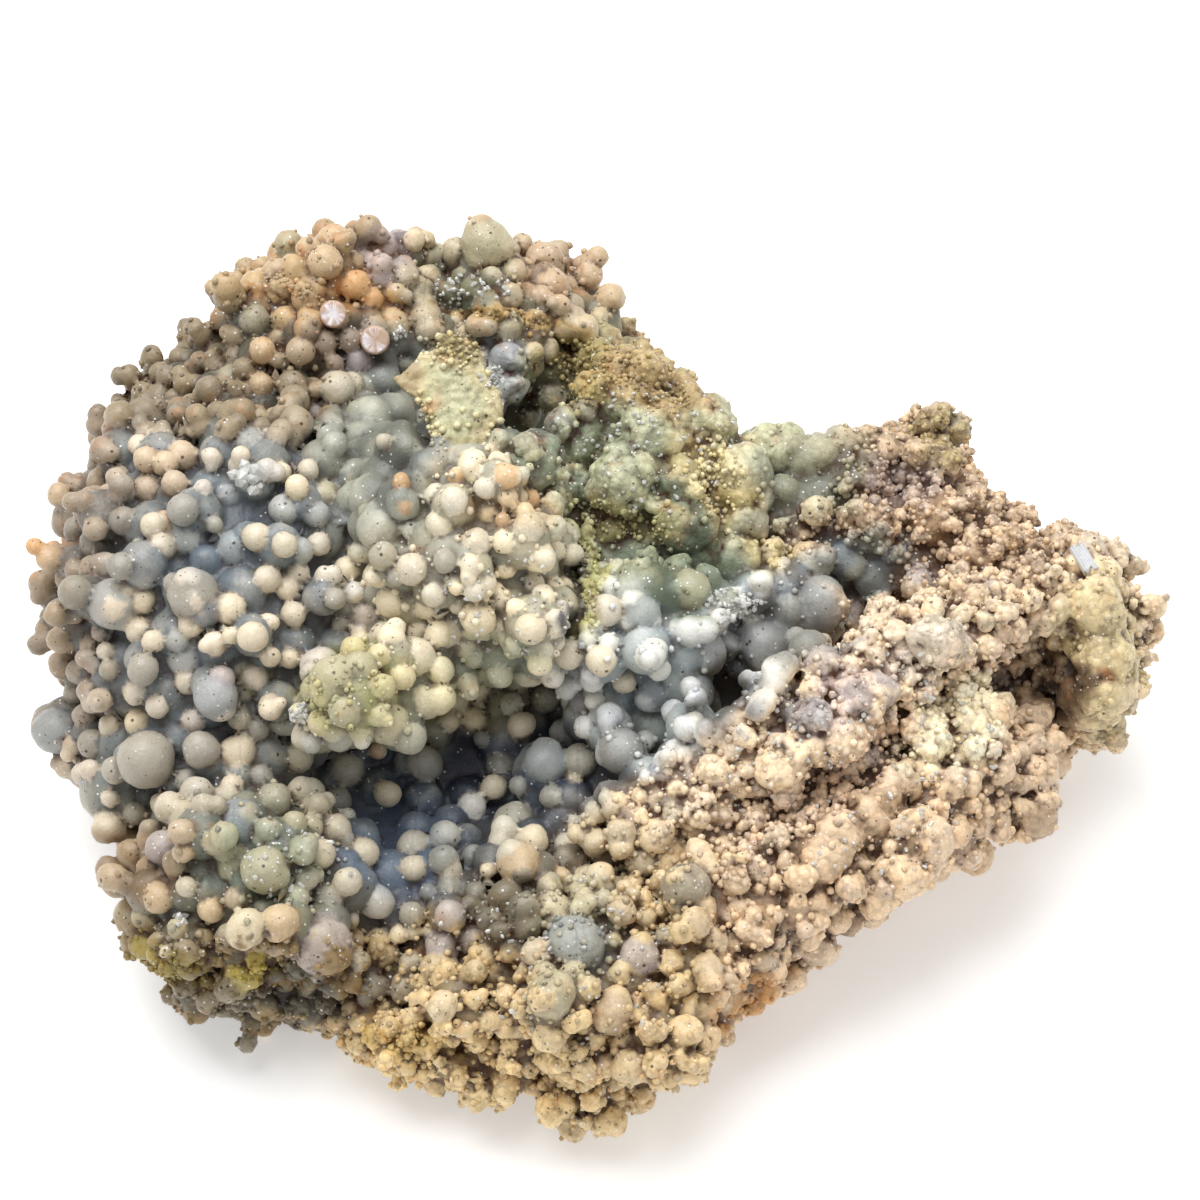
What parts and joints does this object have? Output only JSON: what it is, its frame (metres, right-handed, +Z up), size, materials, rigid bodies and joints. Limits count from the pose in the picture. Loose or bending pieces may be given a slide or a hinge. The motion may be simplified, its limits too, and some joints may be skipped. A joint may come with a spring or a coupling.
{
  "type": "grape agate",
  "caption": "Hand-sized specimen of botryoidal chalcedony: a lumpy grown-together rock covered in grapes, with a pit, two ridges and a flat broken base to rest on.",
  "frame": {"origin": "middle of the length and width, on the flat broken base", "axes": "+X from the domed west end to the narrow east end, +Y from the near rim to the far hump, +Z up from the base"},
  "size_m": [0.202, 0.1742, 0.079],
  "materials": {
    "chalcedony": "opaque to milky, waxy chalcedony, frosted with fine druse"
  },
  "bodies": {
    "root": {"grape_agate": "chalcedony"}
  },
  "joints": []
}
